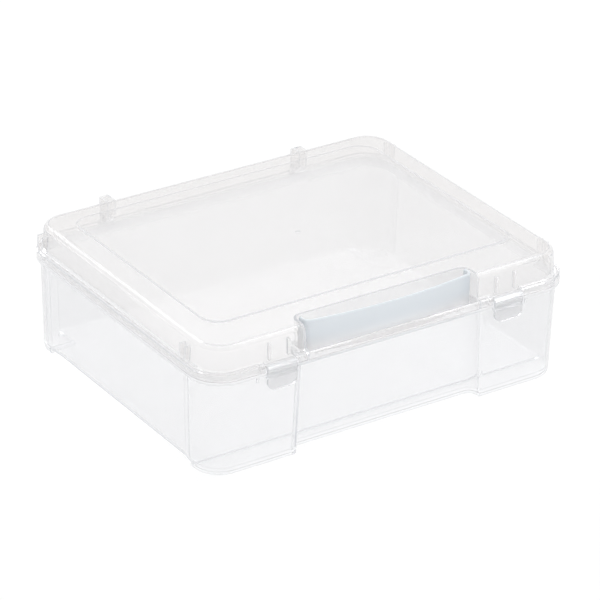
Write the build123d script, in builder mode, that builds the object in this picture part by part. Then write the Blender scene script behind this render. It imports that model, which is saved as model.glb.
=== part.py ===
"""Portable document case: a clear moulded tray with a hinged lid, two latches and a carrying handle.

Millimetres, +Z up, front towards -Y. The origin lies in the plane of the feet, under the middle of the rim.
"""

import os
from math import cos, hypot, radians, sin, sqrt, tan

from build123d import *

os.makedirs("parts", exist_ok=True)

# Overall form, measured over the rim
case_width = 340.0
case_depth = 275.0
rim_radius = 28.0

# Tray walls, floor and feet
tray_wall = 2.0
tray_draft_angle = 1.6
floor_thickness = 2.2
foot_height = 3.0
foot_length_side = 31.0
foot_length_back = 30.0
bottom_round = 3.5
inner_round = 2.0
rounding_angles = (0, 30, 60, 90)
rim_overhang = 3.0
post_relief = 1.5
post_length_side = 34.0
post_length_back = 30.0
post_ramp = 9.0

# Finger recess in the middle of the front
recess_end_distance = 87.0
recess_depth = 10.0
recess_jaw_fillet = 5.0
recess_root_fillet = 4.0
recess_least_fillet = 0.5

# Rim of the tray
rim_underside = 80.5
flange_thickness = 2.1
mouth_inset = 6.5
upstand_wall = 2.0
upstand_height = 4.8
upstand_gap = 0.8
shelf_fillet = 7.0

# Lid
lid_wall = 1.8
lid_draft_angle = 3.0
rim_gap = 0.2
skirt_height = 6.7
ledge_width = 5.0
ledge_edge_chamfer = 1.1
ledge_root_chamfer = 1.4
skirt_wall = 2.0
lid_height = 20.5
lid_edge_fillet = 6.0
notch_end_distance = 91.2
notch_depth = 22.8
notch_fillet = 6.0
panel_rise = 1.6
panel_slope_angle = 50.0
panel_side_margin = 26.5
panel_back_margin = 24.0
panel_front_margin = 39.0
panel_radius = 18.0
gate_radius = 2.4
gate_depth = 0.5

# Handle
handle_side_gap = 1.3
handle_wall = 2.3
handle_rise = 0.6
handle_front_gap = 3.5
handle_bow = 6.2
handle_corner_radius = 6.0
handle_rear_gap = 3.8
handle_edge_chamfer = 0.6
handle_foot_length = 18.0
handle_foot_thickness = 2.4
peg_end_distance = 11.5
peg_depth = 9.2
peg_radius = 2.5
peg_clearance = 0.05
peg_slack = 0.2
peg_head_radius = 3.1
peg_head_length = 1.4
peg_head_angle = 20.0

# Latches
latch_end_distance = 65.0
latch_half_width = 13.25
latch_side_gap = 0.4
latch_front_gap = 0.4
latch_plate = 2.0
latch_top_drop = 1.5
latch_height = 19.5
latch_corner_radius = 6.0
latch_lip = 1.0
latch_lip_height = 5.0
latch_axis_drop = 3.1
latch_axis_inset = 2.5
latch_barrel_radius = 2.2
latch_pin_radius = 1.3
latch_pin_clearance = 0.08
latch_pin_end_gap = 0.5
latch_cheek = 3.0
latch_cheek_gap = 0.6
latch_hook_reach = 2.4
latch_hook_height = 2.6
latch_swing_gap = 0.3
latch_rib_offset = 8.7
latch_rib_wall = 1.8
latch_rib_depth = 2.3
latch_rib_height = 15.0
guide_rib_gap = 6.4
guide_rib_wall = 1.8
guide_rib_height = 9.0
guide_rib_inset = 0.5

# Hinges
hinge_end_distance = 78.0
hinge_axis_back = 3.6
hinge_axis_rise = 2.0
hinge_pin_radius = 1.5
hinge_pin_clearance = 0.08
hinge_eye_radius = 3.0
hinge_mouth = 2.4
hinge_arm_width = 8.5
hinge_arm_wall = 1.5
hinge_arm_drop = 3.0
hinge_arm_round = 4.0
hinge_ear_wall = 2.6
hinge_ear_gap = 0.35
hinge_ear_radius = 2.6

# Stacking lugs on the sides of the lid
lug_front_distance = 37.5
lug_back_distance = 25.5
lug_spacing = 7.0
lug_wall = 1.6
lug_height = 14.0
lug_reach = 4.2

# How far joined forms run into one another, and how closely corners are matched
overlap = 1.0
match = 0.01

# Length of the chamfer that touches the middle of a round, as a share of the round's radius
chamfer_share = 2 - sqrt(2)

# Places worked out from the sizes above
half_width = case_width / 2
half_depth = case_depth / 2
tray_slope = tan(radians(tray_draft_angle))
floor_top = foot_height + floor_thickness
flange_top = rim_underside + flange_thickness
recess_half_width = half_width - recess_end_distance
skirt_bottom = flange_top + rim_gap
ledge_top = skirt_bottom + skirt_height
ledge_underside = ledge_top - lid_wall
lid_top = ledge_top + lid_height
lid_inner_chamfer = chamfer_share * (lid_edge_fillet - lid_wall)
lid_wall_x = half_width - ledge_width
lid_wall_y = half_depth - ledge_width
panel_shift = (panel_front_margin - panel_back_margin) / 2
notch_half_width = half_width - notch_end_distance
shelf_half_width = notch_half_width + lid_wall + upstand_gap + upstand_wall
shelf_depth = notch_depth + lid_wall + upstand_gap + upstand_wall
handle_half_width = notch_half_width - handle_side_gap
handle_top = lid_top + handle_rise
handle_rear = -half_depth + notch_depth - handle_rear_gap
peg_x = handle_half_width - peg_end_distance
peg_y = -half_depth + peg_depth
latch_offset = half_width - latch_end_distance
latch_top = ledge_top - latch_top_drop
latch_bottom = latch_top - latch_height
latch_axis_y = -half_depth + latch_axis_inset
latch_axis_height = ledge_top - latch_axis_drop
latch_window = latch_half_width + latch_side_gap
latch_housing = latch_window + latch_cheek
latch_inner_face = -half_depth - latch_front_gap
hinge_offset = half_width - hinge_end_distance
hinge_axis_y = half_depth + hinge_axis_back
hinge_axis_height = flange_top + hinge_axis_rise
hinge_arm_top = lid_top - hinge_arm_drop
lug_front = -half_depth + lug_front_distance
lug_back = half_depth - lug_back_distance


def corners_at(sketch, x, y):
    """Corners of a plan that stand at plus or minus x, at the depth y."""
    return [v for v in sketch.vertices() if abs(abs(v.X) - x) < match and abs(v.Y - y) < match]


def tray_plan(inset):
    """Plan of the tray's walls: corner posts, shallow reliefs between them and the finger recess."""
    side = half_width - rim_overhang - inset
    back = half_depth - rim_overhang - inset
    side_span = half_depth - post_length_side
    back_span = half_width - post_length_back
    recess_half = recess_half_width + inset
    recess_back = recess_depth - back
    jaw = max(recess_jaw_fillet - inset, recess_least_fillet)
    root = min(recess_root_fillet + inset, recess_depth - jaw - recess_least_fillet)
    with BuildSketch() as plan:
        with BuildLine():
            right = Polyline(
                (recess_half, recess_back),
                (recess_half, -back),
                (side, -back),
                (side, -side_span),
                (side - post_relief, -side_span + post_ramp),
                (side - post_relief, side_span - post_ramp),
                (side, side_span),
                (side, back),
                (back_span, back),
                (back_span - post_ramp, back - post_relief),
                (0, back - post_relief),
            )
            mirror(right, about=Plane.YZ)
            Line((-recess_half, recess_back), (recess_half, recess_back))
        make_face()
        fillet(corners_at(plan, side, back), radius=rim_radius - rim_overhang - inset)
        fillet(corners_at(plan, side, -back), radius=rim_radius - rim_overhang - inset)
        fillet(corners_at(plan, recess_half, -back), radius=jaw)
        fillet(corners_at(plan, recess_half, recess_back), radius=root)
    return plan.sketch


def tray_sections(bottom, top, wall, rounding):
    """Heights and insets of a drafted wall, from its rounded bottom edge up to its top."""
    sections = []
    for angle in rounding_angles:
        height = bottom + rounding * (1 - cos(radians(angle)))
        inset = wall + (rim_underside - bottom) * tray_slope + rounding * (1 - sin(radians(angle)))
        sections.append((height, inset))
    sections.append((top, wall + (rim_underside - top) * tray_slope))
    return sections


def rim_plan(inset):
    """Plan of the rim moved inwards by inset, with corners that stay parallel."""
    with BuildSketch() as plan:
        RectangleRounded(case_width - 2 * inset, case_depth - 2 * inset, rim_radius - inset)
    return plan.sketch


def mouth_plan(grow):
    """Plan of the tray's mouth, stepped back behind the handle shelf, and moved outwards by grow."""
    inset = mouth_inset - grow
    step_half = shelf_half_width - grow
    step_depth = shelf_depth - grow
    with BuildSketch() as plan:
        RectangleRounded(case_width - 2 * inset, case_depth - 2 * inset, rim_radius - inset)
        with Locations((0, -half_depth)):
            Rectangle(2 * step_half, 2 * step_depth, mode=Mode.SUBTRACT)
        fillet(corners_at(plan, step_half, -half_depth + inset), radius=shelf_fillet + grow)
        fillet(corners_at(plan, step_half, -half_depth + step_depth), radius=shelf_fillet - grow)
    return plan.sketch


def notch_plan(grow):
    """Plan of the lid's notch behind the front skirt, moved outwards by grow."""
    front = -half_depth + skirt_wall - grow
    back = -half_depth + notch_depth + grow
    with BuildSketch() as plan:
        with Locations((0, (front + back) / 2)):
            Rectangle(2 * (notch_half_width + grow), back - front)
        fillet(corners_at(plan, notch_half_width + grow, back), radius=notch_fillet + grow)
    return plan.sketch


def panel_plan():
    """Plan of the raised panel on top of the lid."""
    width = case_width - 2 * panel_side_margin
    depth = case_depth - panel_front_margin - panel_back_margin
    with BuildSketch() as plan:
        with Locations((0, panel_shift)):
            RectangleRounded(width, depth, panel_radius)
    return plan.sketch


def handle_plan(inset, rear):
    """Plan enclosed by the handle's bowed front, its corners and its two arms."""
    half = handle_half_width - inset
    front = -half_depth + handle_front_gap + inset
    end = front + handle_bow
    with BuildSketch() as plan:
        with BuildLine():
            ThreePointArc((-half, end), (0, front), (half, end))
            Polyline((half, end), (half, rear), (-half, rear), (-half, end))
        make_face()
        fillet(corners_at(plan, half, end), radius=handle_corner_radius - inset)
    return plan.sketch


# Tray: outer form of the walls
with BuildPart() as tray_body:
    for height, inset in tray_sections(foot_height, rim_underside, 0, bottom_round):
        with BuildSketch(Plane.XY.offset(height)):
            add(tray_plan(inset))
    loft(ruled=True)

# Tray: corner feet, which carry the posts down below the floor
with BuildPart() as tray_feet:
    for height, inset in tray_sections(0, foot_height + bottom_round, 0, foot_height):
        with BuildSketch(Plane.XY.offset(height)):
            add(tray_plan(inset))
    loft(ruled=True)
    with BuildSketch():
        Rectangle(case_width, case_depth - 2 * foot_length_side)
        with Locations((0, half_depth)):
            Rectangle(case_width - 2 * foot_length_back, case_depth)
    extrude(amount=foot_height + bottom_round, mode=Mode.SUBTRACT)

# Tray: space inside the walls
with BuildPart() as tray_space:
    for height, inset in tray_sections(floor_top, rim_underside, tray_wall, inner_round):
        with BuildSketch(Plane.XY.offset(height)):
            add(tray_plan(inset))
    loft(ruled=True)

# Tray: hollows in the feet
with BuildPart() as foot_space:
    for height, inset in tray_sections(floor_thickness, floor_top + overlap, tray_wall, inner_round):
        with BuildSketch(Plane.XY.offset(height)):
            add(tray_plan(inset))
    loft(ruled=True)
    with BuildSketch():
        Rectangle(case_width, case_depth - 2 * foot_length_side + 2 * tray_wall)
        with Locations((0, half_depth)):
            Rectangle(case_width - 2 * foot_length_back + 2 * tray_wall, case_depth)
    extrude(amount=floor_top + 2 * overlap, mode=Mode.SUBTRACT)

with BuildPart() as base_tray:
    add(tray_body.part)
    add(tray_feet.part)
    add(tray_space.part, mode=Mode.SUBTRACT)
    add(foot_space.part, mode=Mode.SUBTRACT)
    # Flange round the rim, wide at the front as a shelf for the handle
    with BuildSketch(Plane.XY.offset(rim_underside)):
        add(rim_plan(0))
        add(mouth_plan(0), mode=Mode.SUBTRACT)
    extrude(amount=flange_thickness)
    # Upstand that the lid fits over
    with BuildSketch(Plane.XY.offset(flange_top)):
        add(mouth_plan(upstand_wall))
        add(mouth_plan(0), mode=Mode.SUBTRACT)
    extrude(amount=upstand_height)
    # Gaps in the upstand for the latch housings of the lid
    with BuildSketch(Plane.XY.offset(flange_top)):
        with Locations((-latch_offset, -half_depth), (latch_offset, -half_depth)):
            Rectangle(2 * (latch_housing + latch_cheek_gap), 2 * (mouth_inset + overlap))
    extrude(amount=upstand_height, mode=Mode.SUBTRACT)
    # Guide ribs under the flange, outside each latch
    rib_front = -half_depth + guide_rib_inset
    rib_root = -half_depth + rim_overhang + overlap
    for side in (-1, 1):
        rib_x = side * (latch_offset + latch_half_width + guide_rib_gap)
        with BuildSketch(Plane.YZ.offset(rib_x)):
            with BuildLine():
                Polyline(
                    (rib_front, rim_underside + overlap),
                    (rib_front, rim_underside),
                    (rib_root, rim_underside - guide_rib_height),
                    (rib_root, rim_underside + overlap),
                    close=True,
                )
            make_face()
        extrude(amount=guide_rib_wall / 2, both=True)
    # Hinge ears behind the rim, and the pins between them
    for hinge in (-hinge_offset, hinge_offset):
        for side in (-1, 1):
            ear_x = hinge + side * (hinge_arm_width / 2 + hinge_ear_gap + hinge_ear_wall / 2)
            with BuildSketch(Plane.YZ.offset(ear_x)):
                with BuildLine():
                    Polyline(
                        (half_depth - mouth_inset, rim_underside),
                        (half_depth - mouth_inset, flange_top),
                        (half_depth, flange_top),
                        (hinge_axis_y - hinge_pin_radius, hinge_axis_height),
                        (hinge_axis_y, hinge_axis_height - hinge_ear_radius),
                        (half_depth, rim_underside),
                        close=True,
                    )
                make_face()
                with Locations((hinge_axis_y, hinge_axis_height)):
                    Circle(hinge_ear_radius)
            extrude(amount=hinge_ear_wall / 2, both=True)
        with BuildSketch(Plane.YZ.offset(hinge)):
            with Locations((hinge_axis_y, hinge_axis_height)):
                Circle(hinge_pin_radius)
        extrude(amount=hinge_arm_width / 2 + hinge_ear_gap + hinge_ear_wall / 2, both=True)
    # Holes in the shelf for the handle's pegs
    with BuildSketch(Plane.XY.offset(rim_underside)):
        with Locations((-peg_x, peg_y), (peg_x, peg_y)):
            Circle(peg_radius + peg_clearance)
    extrude(amount=flange_thickness, mode=Mode.SUBTRACT)

# Lid: the space inside its walls, up to the underside of its panel
with BuildPart() as lid_space:
    with BuildSketch(Plane.XY.offset(ledge_underside)):
        add(rim_plan(ledge_width + lid_wall))
    extrude(amount=lid_top - lid_wall - ledge_underside, taper=lid_draft_angle)
    chamfer(lid_space.faces().sort_by(Axis.Z)[-1].edges(), length=lid_inner_chamfer)
    with BuildSketch(Plane.XY.offset(lid_top - lid_wall)):
        add(panel_plan())
    extrude(amount=panel_rise, taper=panel_slope_angle)
    with BuildSketch(Plane.XY.offset(skirt_bottom)):
        add(rim_plan(skirt_wall))
    extrude(amount=ledge_underside - skirt_bottom)
    # The walls round the notch stay solid
    with BuildSketch(Plane.XY.offset(skirt_bottom)):
        add(notch_plan(lid_wall))
    extrude(amount=lid_top - skirt_bottom, taper=-lid_draft_angle, mode=Mode.SUBTRACT)

with BuildPart() as lid:
    # Skirt and ledge, with the raised top standing on them
    with BuildSketch(Plane.XY.offset(skirt_bottom)):
        add(rim_plan(0))
    extrude(amount=ledge_top - skirt_bottom)
    with BuildSketch(Plane.XY.offset(ledge_top)):
        add(rim_plan(ledge_width))
    extrude(amount=lid_top - ledge_top, taper=lid_draft_angle)
    fillet(lid.faces().sort_by(Axis.Z)[-1].edges(), radius=lid_edge_fillet)
    ledge = lid.faces().filter_by_position(Axis.Z, ledge_top - match, ledge_top + match)[0]
    chamfer(ledge.outer_wire().edges(), length=ledge_edge_chamfer)
    ledge = lid.faces().filter_by_position(Axis.Z, ledge_top - match, ledge_top + match)[0]
    chamfer(ledge.inner_wires()[0].edges(), length=ledge_root_chamfer)
    # Raised panel
    with BuildSketch(Plane.XY.offset(lid_top)):
        add(panel_plan())
    extrude(amount=panel_rise, taper=panel_slope_angle)
    # Ribs over the latches
    for latch in (-latch_offset, latch_offset):
        for side in (-1, 1):
            with BuildSketch(Plane.XY.offset(ledge_top)):
                with Locations((latch + side * latch_rib_offset, -lid_wall_y)):
                    Rectangle(latch_rib_wall, 2 * latch_rib_depth)
            extrude(amount=latch_rib_height)
    # Stacking lugs on the sides
    for side in (-1, 1):
        for place in (lug_front, lug_back):
            for half in (-1, 1):
                with BuildSketch(Plane.XY.offset(ledge_top)):
                    with Locations((side * lid_wall_x, place + half * lug_spacing / 2)):
                        Rectangle(2 * lug_reach, lug_wall)
                extrude(amount=lug_height)
    # Arms that carry the hinge eyes, hollow from above
    arm_back = hinge_axis_y + hinge_eye_radius
    pocket_depth = arm_back - hinge_arm_wall - lid_wall_y
    for hinge in (-hinge_offset, hinge_offset):
        with BuildSketch(Plane.YZ.offset(hinge)) as arm:
            with BuildLine():
                Polyline(
                    (lid_wall_y - overlap, hinge_arm_top),
                    (arm_back, hinge_arm_top),
                    (arm_back, hinge_axis_height),
                    (half_depth, hinge_axis_height),
                    (half_depth, ledge_underside),
                    (lid_wall_y - overlap, ledge_underside),
                    close=True,
                )
            make_face()
            fillet(arm.vertices().sort_by(lambda v: v.Y + v.Z)[-1], radius=hinge_arm_round)
            with Locations((hinge_axis_y, hinge_axis_height)):
                Circle(hinge_eye_radius)
        extrude(amount=hinge_arm_width / 2, both=True)
        with BuildSketch(Plane.XY.offset(ledge_top + hinge_arm_wall)):
            with Locations((hinge, lid_wall_y + pocket_depth / 2)):
                Rectangle(hinge_arm_width - 2 * hinge_arm_wall, pocket_depth)
        extrude(amount=lid_top - ledge_top, mode=Mode.SUBTRACT)
    add(lid_space.part, mode=Mode.SUBTRACT)
    # Notch for the handle, behind the front skirt
    with BuildSketch(Plane.XY.offset(skirt_bottom)):
        add(notch_plan(0))
    extrude(amount=lid_top + panel_rise - skirt_bottom, taper=-lid_draft_angle, mode=Mode.SUBTRACT)
    # Bores of the hinge eyes and their snap mouths
    for hinge in (-hinge_offset, hinge_offset):
        with BuildSketch(Plane.YZ.offset(hinge)):
            with Locations((hinge_axis_y, hinge_axis_height)):
                Circle(hinge_pin_radius + hinge_pin_clearance)
            with Locations((hinge_axis_y, hinge_axis_height - hinge_eye_radius)):
                Rectangle(hinge_mouth, 2 * hinge_eye_radius)
        extrude(amount=hinge_arm_width / 2, both=True, mode=Mode.SUBTRACT)
    # Latch housings: a window through the rim with a bored cheek at each side
    for latch in (-latch_offset, latch_offset):
        with BuildSketch(Plane.XY.offset(skirt_bottom)):
            with Locations((latch, -half_depth + (ledge_width + lid_wall) / 2)):
                Rectangle(2 * latch_housing, ledge_width + lid_wall)
        extrude(amount=ledge_underside - skirt_bottom)
        with BuildSketch(Plane.XY.offset(skirt_bottom)):
            with Locations((latch, -half_depth)):
                Rectangle(2 * latch_window, 2 * ledge_width)
        extrude(amount=ledge_top + ledge_root_chamfer - skirt_bottom, mode=Mode.SUBTRACT)
        with BuildSketch(Plane.YZ.offset(latch)):
            with Locations((latch_axis_y, latch_axis_height)):
                Circle(latch_pin_radius + latch_pin_clearance)
        extrude(amount=latch_housing, both=True, mode=Mode.SUBTRACT)
    # Mark left by the moulding gate
    with BuildSketch(Plane.XY.offset(lid_top + panel_rise - gate_depth)):
        Circle(gate_radius)
    extrude(amount=gate_depth, mode=Mode.SUBTRACT)

# Handle: a bowed wall with two arms, standing on pegged feet on the shelf
with BuildPart() as handle:
    with BuildSketch(Plane.XY.offset(flange_top)):
        add(handle_plan(0, handle_rear))
        add(handle_plan(handle_wall, handle_rear + overlap), mode=Mode.SUBTRACT)
    extrude(amount=handle_top - flange_top)
    chamfer(handle.faces().sort_by(Axis.Z)[-1].edges(), length=handle_edge_chamfer)
    with BuildSketch(Plane.XY.offset(flange_top)):
        add(handle_plan(handle_wall / 2, handle_rear))
        Rectangle(2 * (handle_half_width - handle_foot_length), case_depth, mode=Mode.SUBTRACT)
    extrude(amount=handle_foot_thickness)
    with BuildSketch(Plane.XY.offset(flange_top)):
        with Locations((-peg_x, peg_y), (peg_x, peg_y)):
            Circle(peg_radius)
    extrude(amount=-flange_thickness - peg_slack - peg_head_length)
    with BuildSketch(Plane.XY.offset(rim_underside - peg_slack)):
        with Locations((-peg_x, peg_y), (peg_x, peg_y)):
            Circle(peg_head_radius)
    extrude(amount=-peg_head_length, taper=peg_head_angle)


def latch_profile():
    """Side view of a latch: barrel, web, front plate with a lip, and the hook that grips the flange."""
    outer = latch_inner_face - latch_plate
    hook_tip = -half_depth + latch_hook_reach
    hook_top = rim_underside - latch_swing_gap
    swing = hypot(latch_axis_inset, latch_axis_height - rim_underside) + latch_swing_gap
    hook_bottom = latch_axis_height - swing - latch_hook_height
    with BuildSketch() as hook:
        with BuildLine():
            Polyline(
                (latch_inner_face - latch_plate / 2, hook_top),
                (hook_tip, hook_top),
                (hook_tip, hook_bottom + latch_hook_height / 2),
                (latch_inner_face, hook_bottom),
                (latch_inner_face - latch_plate / 2, hook_bottom),
                close=True,
            )
        make_face()
        with Locations((latch_axis_y, latch_axis_height)):
            Circle(swing, mode=Mode.SUBTRACT)
    with BuildSketch() as profile:
        with BuildLine():
            Polyline(
                (latch_inner_face, latch_top),
                (outer, latch_top),
                (outer, latch_bottom + latch_lip_height),
                (outer - latch_lip, latch_bottom),
                (latch_inner_face - latch_lip, latch_bottom),
                (latch_inner_face, latch_bottom + latch_lip_height),
                close=True,
            )
        make_face()
        fillet(profile.vertices().sort_by(lambda v: v.Y - v.X)[-1], radius=latch_plate / 2)
        with Locations(((latch_inner_face + latch_axis_y) / 2, latch_axis_height)):
            Rectangle(latch_axis_y - latch_inner_face, 2 * (latch_top - latch_axis_height))
        with Locations((latch_axis_y, latch_axis_height)):
            Circle(latch_barrel_radius)
        add(hook.sketch)
    return profile.sketch


def latch_at(place):
    """A latch with its two stub pins, with its middle at place along X."""
    with BuildPart() as piece:
        with BuildSketch(Plane.YZ.offset(place)):
            add(latch_profile())
        extrude(amount=latch_half_width, both=True)
        fillet(piece.edges().group_by(Axis.Z)[0].filter_by(Axis.Y), radius=latch_corner_radius)
        with BuildSketch(Plane.YZ.offset(place)):
            with Locations((latch_axis_y, latch_axis_height)):
                Circle(latch_pin_radius)
        extrude(amount=latch_housing - latch_pin_end_gap, both=True)
    return piece.part


with BuildPart() as latch_left:
    add(latch_at(-latch_offset))

with BuildPart() as latch_right:
    add(latch_at(latch_offset))

base_tray.part.label = "base_tray"
lid.part.label = "lid"
handle.part.label = "handle"
latch_left.part.label = "latch_left"
latch_right.part.label = "latch_right"

export_step(base_tray.part, "parts/base_tray.step")
export_step(lid.part, "parts/lid.step")
export_step(handle.part, "parts/handle.step")
export_step(latch_left.part, "parts/latch_left.step")
export_step(latch_right.part, "parts/latch_right.step")
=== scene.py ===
"""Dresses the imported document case: clear moulded plastic on a white table, seen from its front left."""

import math

import bmesh
import bpy
from mathutils import Matrix, Vector

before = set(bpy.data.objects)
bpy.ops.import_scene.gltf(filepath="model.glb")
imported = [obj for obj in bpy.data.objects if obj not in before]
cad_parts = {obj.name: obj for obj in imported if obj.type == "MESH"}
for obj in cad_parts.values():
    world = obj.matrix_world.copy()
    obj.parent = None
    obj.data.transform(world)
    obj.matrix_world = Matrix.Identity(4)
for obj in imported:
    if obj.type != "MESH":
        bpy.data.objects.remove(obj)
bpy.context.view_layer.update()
scene = bpy.context.scene

# Tray
# One injection moulding of clear polypropylene: drafted walls, foot pads and a flanged rim.
# The plastic is glossy and faintly milky. Its base colour is painted grey where a wall is seen edge on,
# a painted shade, and it is darker where light goes a long way through it; both draw the rim, the corners
# and the outlines.
TRAY_COLOUR = (0.965, 0.965, 0.97, 1)
TRAY_HAZE = 0.2
TRAY_RIM_HAZE = 0.38
RIM_LOW = 0.0775
RIM_HIGH = 0.0805
PLASTIC_IOR = 1.32
FACE_COLOUR_AND_EDGE_SHADE = "face_colour_and_edge_shade"
# Painted shade: the base colour turns to this grey where a face is seen edge on.
EDGE_ON_PAINTED_SHADE = (0.5, 0.51, 0.53, 1)
EDGE_SHARPNESS = 5.0
EDGE_HAZE = 0.6
GLOSS_LOW = 0.05
GLOSS_HIGH = 0.13
PATCH_SCALE = 35
PATCH_DETAIL = 3
PATCH_DARK = 0.3
PATCH_LIGHT = 0.7
WAVE_SCALE = 60
WAVE_DETAIL = 2
WAVE_STRENGTH = 0.012
WAVE_DEPTH = 0.0005
LIGHT_PASSED = (0.97, 0.972, 0.975, 1)
DEPTH_COLOUR = (0.8, 0.815, 0.84, 1)
DEPTH_DENSITY = 52
MOST_REFLECTIONS = 1
MOST_CROSSINGS = 7


def patchy_gloss(tree, place, gloss_low, gloss_high):
    """Roughness that wanders between two values, as on a mould that was polished by hand."""
    patches = tree.nodes.new("ShaderNodeTexNoise")
    patches.inputs["Scale"].default_value = PATCH_SCALE
    patches.inputs["Detail"].default_value = PATCH_DETAIL
    tree.links.new(place, patches.inputs["Vector"])
    gloss = tree.nodes.new("ShaderNodeMapRange")
    gloss.inputs["From Min"].default_value = PATCH_DARK
    gloss.inputs["From Max"].default_value = PATCH_LIGHT
    gloss.inputs["To Min"].default_value = gloss_low
    gloss.inputs["To Max"].default_value = gloss_high
    tree.links.new(patches.outputs["Fac"], gloss.inputs["Value"])
    return gloss.outputs["Result"]


def moulding_waves(tree, place):
    """The slow waves that a thin wall gets as it cools."""
    waves = tree.nodes.new("ShaderNodeTexNoise")
    waves.inputs["Scale"].default_value = WAVE_SCALE
    waves.inputs["Detail"].default_value = WAVE_DETAIL
    tree.links.new(place, waves.inputs["Vector"])
    bump = tree.nodes.new("ShaderNodeBump")
    bump.inputs["Strength"].default_value = WAVE_STRENGTH
    bump.inputs["Distance"].default_value = WAVE_DEPTH
    tree.links.new(waves.outputs["Fac"], bump.inputs["Height"])
    return bump.outputs["Normal"]


def let_light_out(tree, plastic):
    """Lets lamp light through the plastic, and frees rays that are caught between a wall's two faces."""
    passing = tree.nodes.new("ShaderNodeBsdfTransparent")
    passing.inputs["Color"].default_value = LIGHT_PASSED
    rays = tree.nodes.new("ShaderNodeLightPath")
    reflected = tree.nodes.new("ShaderNodeMath")
    reflected.operation = "GREATER_THAN"
    reflected.inputs[1].default_value = MOST_REFLECTIONS
    tree.links.new(rays.outputs["Glossy Depth"], reflected.inputs[0])
    crossed = tree.nodes.new("ShaderNodeMath")
    crossed.operation = "GREATER_THAN"
    crossed.inputs[1].default_value = MOST_CROSSINGS
    tree.links.new(rays.outputs["Ray Depth"], crossed.inputs[0])
    caught = tree.nodes.new("ShaderNodeMath")
    caught.operation = "MAXIMUM"
    tree.links.new(reflected.outputs["Value"], caught.inputs[0])
    tree.links.new(crossed.outputs["Value"], caught.inputs[1])
    freed = tree.nodes.new("ShaderNodeMixShader")
    tree.links.new(caught.outputs["Value"], freed.inputs[0])
    tree.links.new(plastic, freed.inputs[1])
    tree.links.new(passing.outputs[0], freed.inputs[2])
    lit = tree.nodes.new("ShaderNodeMixShader")
    tree.links.new(rays.outputs["Is Shadow Ray"], lit.inputs[0])
    tree.links.new(freed.outputs[0], lit.inputs[1])
    tree.links.new(passing.outputs[0], lit.inputs[2])
    return lit.outputs[0]


def height_zone(tree, place, zone_low, zone_high, value_below, value_above):
    """One value below a zone of height, another above it, and a soft step between them."""
    height = tree.nodes.new("ShaderNodeSeparateXYZ")
    tree.links.new(place, height.inputs["Vector"])
    zone = tree.nodes.new("ShaderNodeMapRange")
    zone.interpolation_type = "SMOOTHSTEP"
    zone.inputs["From Min"].default_value = zone_low
    zone.inputs["From Max"].default_value = zone_high
    zone.inputs["To Min"].default_value = value_below
    zone.inputs["To Max"].default_value = value_above
    tree.links.new(height.outputs["Z"], zone.inputs["Value"])
    return zone.outputs["Result"]


def moulded_plastic(name, colour, haze, zone_haze, zone_low, zone_high, gloss_low, gloss_high):
    """Clear plastic with one haze below a zone of height and another above it.

    Its base colour is painted greyer edge on, a painted shade, and it is darker where light goes
    a long way through it. It is hazy only where light enters it: a wall's inner face stays clear,
    so that the haze isn't doubled.
    """
    material = bpy.data.materials.new(name)
    material.use_nodes = True
    tree = material.node_tree
    nodes = tree.nodes
    links = tree.links
    shader = nodes["Principled BSDF"]
    shader.inputs["IOR"].default_value = PLASTIC_IOR
    place = nodes.new("ShaderNodeTexCoord").outputs["Object"]
    links.new(patchy_gloss(tree, place, gloss_low, gloss_high), shader.inputs["Roughness"])
    links.new(moulding_waves(tree, place), shader.inputs["Normal"])

    view = nodes.new("ShaderNodeLayerWeight")
    edge = nodes.new("ShaderNodeMath")
    edge.operation = "POWER"
    edge.inputs[1].default_value = EDGE_SHARPNESS
    links.new(view.outputs["Facing"], edge.inputs[0])
    # Painted shade: the base colour is mixed towards the edge grey as a face turns edge on.
    painted_edge_shade_mix = nodes.new("ShaderNodeMixRGB")
    painted_edge_shade_mix.name = FACE_COLOUR_AND_EDGE_SHADE
    painted_edge_shade_mix.inputs["Color1"].default_value = colour
    painted_edge_shade_mix.inputs["Color2"].default_value = EDGE_ON_PAINTED_SHADE
    links.new(edge.outputs["Value"], painted_edge_shade_mix.inputs["Fac"])
    links.new(painted_edge_shade_mix.outputs["Color"], shader.inputs["Base Color"])

    milk = nodes.new("ShaderNodeMath")
    milk.operation = "MULTIPLY_ADD"
    milk.inputs[1].default_value = EDGE_HAZE
    links.new(edge.outputs["Value"], milk.inputs[0])
    links.new(height_zone(tree, place, zone_low, zone_high, haze, zone_haze), milk.inputs[2])
    clear = nodes.new("ShaderNodeMath")
    clear.operation = "SUBTRACT"
    clear.use_clamp = True
    clear.inputs[0].default_value = 1
    links.new(milk.outputs["Value"], clear.inputs[1])
    side = nodes.new("ShaderNodeNewGeometry")
    clear_inside = nodes.new("ShaderNodeMath")
    clear_inside.operation = "MAXIMUM"
    links.new(clear.outputs["Value"], clear_inside.inputs[0])
    links.new(side.outputs["Backfacing"], clear_inside.inputs[1])
    links.new(clear_inside.outputs["Value"], shader.inputs["Transmission Weight"])

    output = nodes["Material Output"]
    links.new(let_light_out(tree, shader.outputs[0]), output.inputs["Surface"])
    depth = nodes.new("ShaderNodeVolumeAbsorption")
    depth.inputs["Color"].default_value = DEPTH_COLOUR
    depth.inputs["Density"].default_value = DEPTH_DENSITY
    links.new(depth.outputs["Volume"], output.inputs["Volume"])
    return material


def give_material(node, material):
    """Puts one material on the whole of a CAD node."""
    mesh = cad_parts[node].data
    mesh.materials.clear()
    mesh.materials.append(material)


tray_plastic = moulded_plastic(
    "tray_plastic", TRAY_COLOUR, TRAY_HAZE, TRAY_RIM_HAZE, RIM_LOW, RIM_HIGH, GLOSS_LOW, GLOSS_HIGH
)
give_material("base_tray", tray_plastic)

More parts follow.
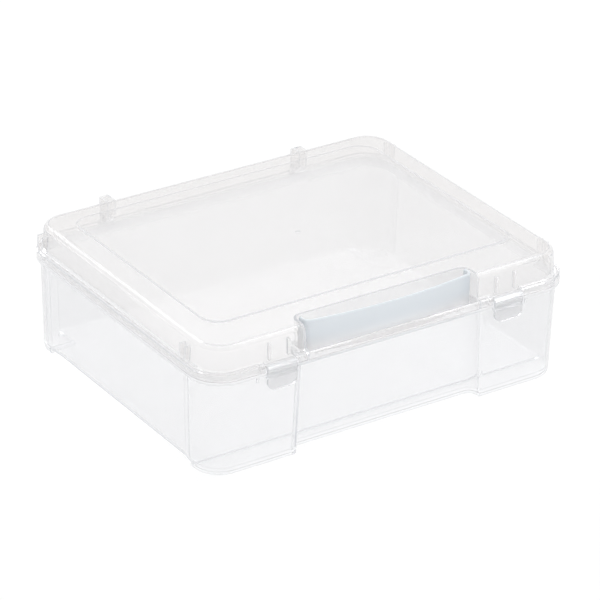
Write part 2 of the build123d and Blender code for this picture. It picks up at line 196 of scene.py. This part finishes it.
# Lid
# The second large moulding of the same plastic, hinged on the tray's pins.
# Its raised panel is the clearest part of the case. Its sloped sides and its skirt are hazier.
LID_COLOUR = (0.96, 0.95, 0.945, 1)
SIDE_HAZE = 0.2
PANEL_HAZE = 0.12
PANEL_LOW = 0.1085
PANEL_HIGH = 0.1114
lid_plastic = moulded_plastic(
    "lid_plastic", LID_COLOUR, SIDE_HAZE, PANEL_HAZE, PANEL_LOW, PANEL_HIGH, GLOSS_LOW, GLOSS_HIGH
)
give_material("lid", lid_plastic)

# Handle
# A bowed wall with a frosted, satin surface, pegged onto the shelf of the tray.
# It is whiter and bluer than the rest and milkiest at its upper lip. Its foot is painted whiter and
# without blue, painted light that offsets the shade that the shelf casts on it.
HANDLE_COLOUR = (0.81, 0.855, 0.89, 1)
WALL_HAZE = 0.55
LIP_HAZE = 0.75
LIP_LOW = 0.1085
LIP_HIGH = 0.1105
SATIN_LOW = 0.28
SATIN_HIGH = 0.4
# Painted light: the handle's foot gets this whiter colour to offset the shade under it.
FOOT_PAINTED_LIGHT = (0.98, 0.965, 0.96, 1)
FOOT_LOW = 0.081
FOOT_HIGH = 0.1
handle_plastic = moulded_plastic(
    "handle_plastic", HANDLE_COLOUR, WALL_HAZE, LIP_HAZE, LIP_LOW, LIP_HIGH, SATIN_LOW, SATIN_HIGH
)
handle_tree = handle_plastic.node_tree
handle_place = handle_tree.nodes.new("ShaderNodeTexCoord").outputs["Object"]
# Painted light: the base colour fades to the whiter foot colour towards the bottom of the handle.
foot_painted_light = handle_tree.nodes.new("ShaderNodeMixRGB")
foot_painted_light.inputs["Color1"].default_value = FOOT_PAINTED_LIGHT
foot_painted_light.inputs["Color2"].default_value = HANDLE_COLOUR
handle_tree.links.new(
    height_zone(handle_tree, handle_place, FOOT_LOW, FOOT_HIGH, 0, 1), foot_painted_light.inputs["Fac"]
)
handle_tree.links.new(foot_painted_light.outputs["Color"], handle_tree.nodes[FACE_COLOUR_AND_EDGE_SHADE].inputs["Color1"])
give_material("handle", handle_plastic)

# Latches
# Two alike snap latches of the clear plastic, each hung on its stub pins in the front of the lid.
# Their gloss is softer than the case's. The barrel is thicker and milkier than the plate.
LATCH_COLOUR = (0.875, 0.875, 0.88, 1)
PLATE_HAZE = 0.2
BARREL_HAZE = 0.32
BARREL_LOW = 0.082
BARREL_HIGH = 0.088
LATCH_GLOSS_LOW = 0.16
LATCH_GLOSS_HIGH = 0.26
latch_plastic = moulded_plastic(
    "latch_plastic",
    LATCH_COLOUR,
    PLATE_HAZE,
    BARREL_HAZE,
    BARREL_LOW,
    BARREL_HIGH,
    LATCH_GLOSS_LOW,
    LATCH_GLOSS_HIGH,
)
give_material("latch_left", latch_plastic)
give_material("latch_right", latch_plastic)

# Table and backdrop
# A plain white table top that runs on into a white surround.
# Both are shown white to the camera and through the plastic, and only dimly light the case.
TABLE_HALF_SIZE = 6
TABLE_COLOUR = (0.95, 0.95, 0.95, 1)
TABLE_GLOW = 0.7
AMBIENT_LEVEL = 0.85
SURROUND_LEVEL = 1.0


def shown_white(tree, camera_share):
    """1 for mirror and see-through rays, the given share for camera rays, 0 for rays that light the case."""
    rays = tree.nodes.new("ShaderNodeLightPath")
    through = tree.nodes.new("ShaderNodeMath")
    through.operation = "MAXIMUM"
    tree.links.new(rays.outputs["Is Glossy Ray"], through.inputs[0])
    tree.links.new(rays.outputs["Is Transmission Ray"], through.inputs[1])
    share = tree.nodes.new("ShaderNodeMath")
    share.operation = "MULTIPLY_ADD"
    share.use_clamp = True
    share.inputs[1].default_value = camera_share
    tree.links.new(rays.outputs["Is Camera Ray"], share.inputs[0])
    tree.links.new(through.outputs["Value"], share.inputs[2])
    return share.outputs["Value"]


table_mesh = bpy.data.meshes.new("table")
table_shape = bmesh.new()
bmesh.ops.create_grid(table_shape, x_segments=1, y_segments=1, size=TABLE_HALF_SIZE)
table_shape.to_mesh(table_mesh)
table_shape.free()
table = bpy.data.objects.new("table", table_mesh)
scene.collection.objects.link(table)

table_white = bpy.data.materials.new("table_white")
table_white.use_nodes = True
table_tree = table_white.node_tree
table_tree.nodes.remove(table_tree.nodes["Principled BSDF"])
paint = table_tree.nodes.new("ShaderNodeBsdfDiffuse")
paint.inputs["Color"].default_value = TABLE_COLOUR
glow = table_tree.nodes.new("ShaderNodeEmission")
cover = table_tree.nodes.new("ShaderNodeMixShader")
table_tree.links.new(shown_white(table_tree, TABLE_GLOW), cover.inputs[0])
table_tree.links.new(paint.outputs[0], cover.inputs[1])
table_tree.links.new(glow.outputs[0], cover.inputs[2])
table_tree.links.new(cover.outputs[0], table_tree.nodes["Material Output"].inputs["Surface"])
table_mesh.materials.append(table_white)

surround = bpy.data.worlds.new("white_surround")
surround.use_nodes = True
surround_tree = surround.node_tree
background = surround_tree.nodes["Background"]
background.inputs["Color"].default_value = (1, 1, 1, 1)
level = surround_tree.nodes.new("ShaderNodeMapRange")
level.inputs["To Min"].default_value = AMBIENT_LEVEL
level.inputs["To Max"].default_value = SURROUND_LEVEL
surround_tree.links.new(shown_white(surround_tree, SURROUND_LEVEL), level.inputs["Value"])
surround_tree.links.new(level.outputs["Result"], background.inputs["Strength"])
scene.world = surround

# Light
# Three softboxes. The ones behind and at the right draw the soft bright bands along the lid's
# left and front edges, and a small one in front draws the lines on the rim and the latches.
BACK_BOX_PLACE = Vector((-0.3, 1.4, 1.3))
BACK_BOX_SIZE = 0.85
BACK_BOX_POWER = 9
RIGHT_BOX_PLACE = Vector((0.9, -0.1, 1.5))
RIGHT_BOX_SIZE = 0.7
RIGHT_BOX_POWER = 5.5
FRONT_BOX_PLACE = Vector((0.85, -0.99, 1.18))
FRONT_BOX_SIZE = 0.4
FRONT_BOX_POWER = 1.8
CASE_MIDDLE = Vector((0, 0, 0.05))


def softbox(name, place, size, power):
    """A square softbox that faces the case."""
    lamp = bpy.data.lights.new(name, "AREA")
    lamp.energy = power
    lamp.size = size
    box = bpy.data.objects.new(name, lamp)
    box.location = place
    box.rotation_euler = (CASE_MIDDLE - place).to_track_quat("-Z", "Y").to_euler()
    scene.collection.objects.link(box)


softbox("back_softbox", BACK_BOX_PLACE, BACK_BOX_SIZE, BACK_BOX_POWER)
softbox("right_softbox", RIGHT_BOX_PLACE, RIGHT_BOX_SIZE, RIGHT_BOX_POWER)
softbox("front_softbox", FRONT_BOX_PLACE, FRONT_BOX_SIZE, FRONT_BOX_POWER)

# Camera
# A long lens at the front left, tilted down and turned a little about its own axis.
# Its two small steps put the case at the place in the frame that it has in the photograph.
CAMERA_HEADING = math.radians(34.10)
CAMERA_TILT = math.radians(27.36)
CAMERA_ROLL = math.radians(1.27)
CAMERA_DISTANCE = 2.875
CAMERA_LENS = 217.06
SIDE_STEP = 0.00287
UP_STEP = 0.00119
WALL_BOUNCES = 24
SOFT_BOUNCES = 6
OPEN_BOUNCES = 32
forward = Vector((
    math.sin(CAMERA_HEADING) * math.cos(CAMERA_TILT),
    math.cos(CAMERA_HEADING) * math.cos(CAMERA_TILT),
    -math.sin(CAMERA_TILT),
))
level_right = Vector((math.cos(CAMERA_HEADING), -math.sin(CAMERA_HEADING), 0))
level_up = level_right.cross(forward)
right = math.cos(CAMERA_ROLL) * level_right + math.sin(CAMERA_ROLL) * level_up
up = math.cos(CAMERA_ROLL) * level_up - math.sin(CAMERA_ROLL) * level_right
lens = bpy.data.cameras.new("photo_camera")
lens.lens = CAMERA_LENS
camera = bpy.data.objects.new("photo_camera", lens)
camera.matrix_world = Matrix((right, up, -forward)).transposed().to_4x4()
camera.location = CASE_MIDDLE - forward * CAMERA_DISTANCE + right * SIDE_STEP + up * UP_STEP
scene.collection.objects.link(camera)
scene.camera = camera
scene.view_settings.view_transform = "Standard"
scene.cycles.max_bounces = WALL_BOUNCES
scene.cycles.transmission_bounces = WALL_BOUNCES
scene.cycles.glossy_bounces = WALL_BOUNCES
scene.cycles.diffuse_bounces = SOFT_BOUNCES
scene.cycles.transparent_max_bounces = OPEN_BOUNCES
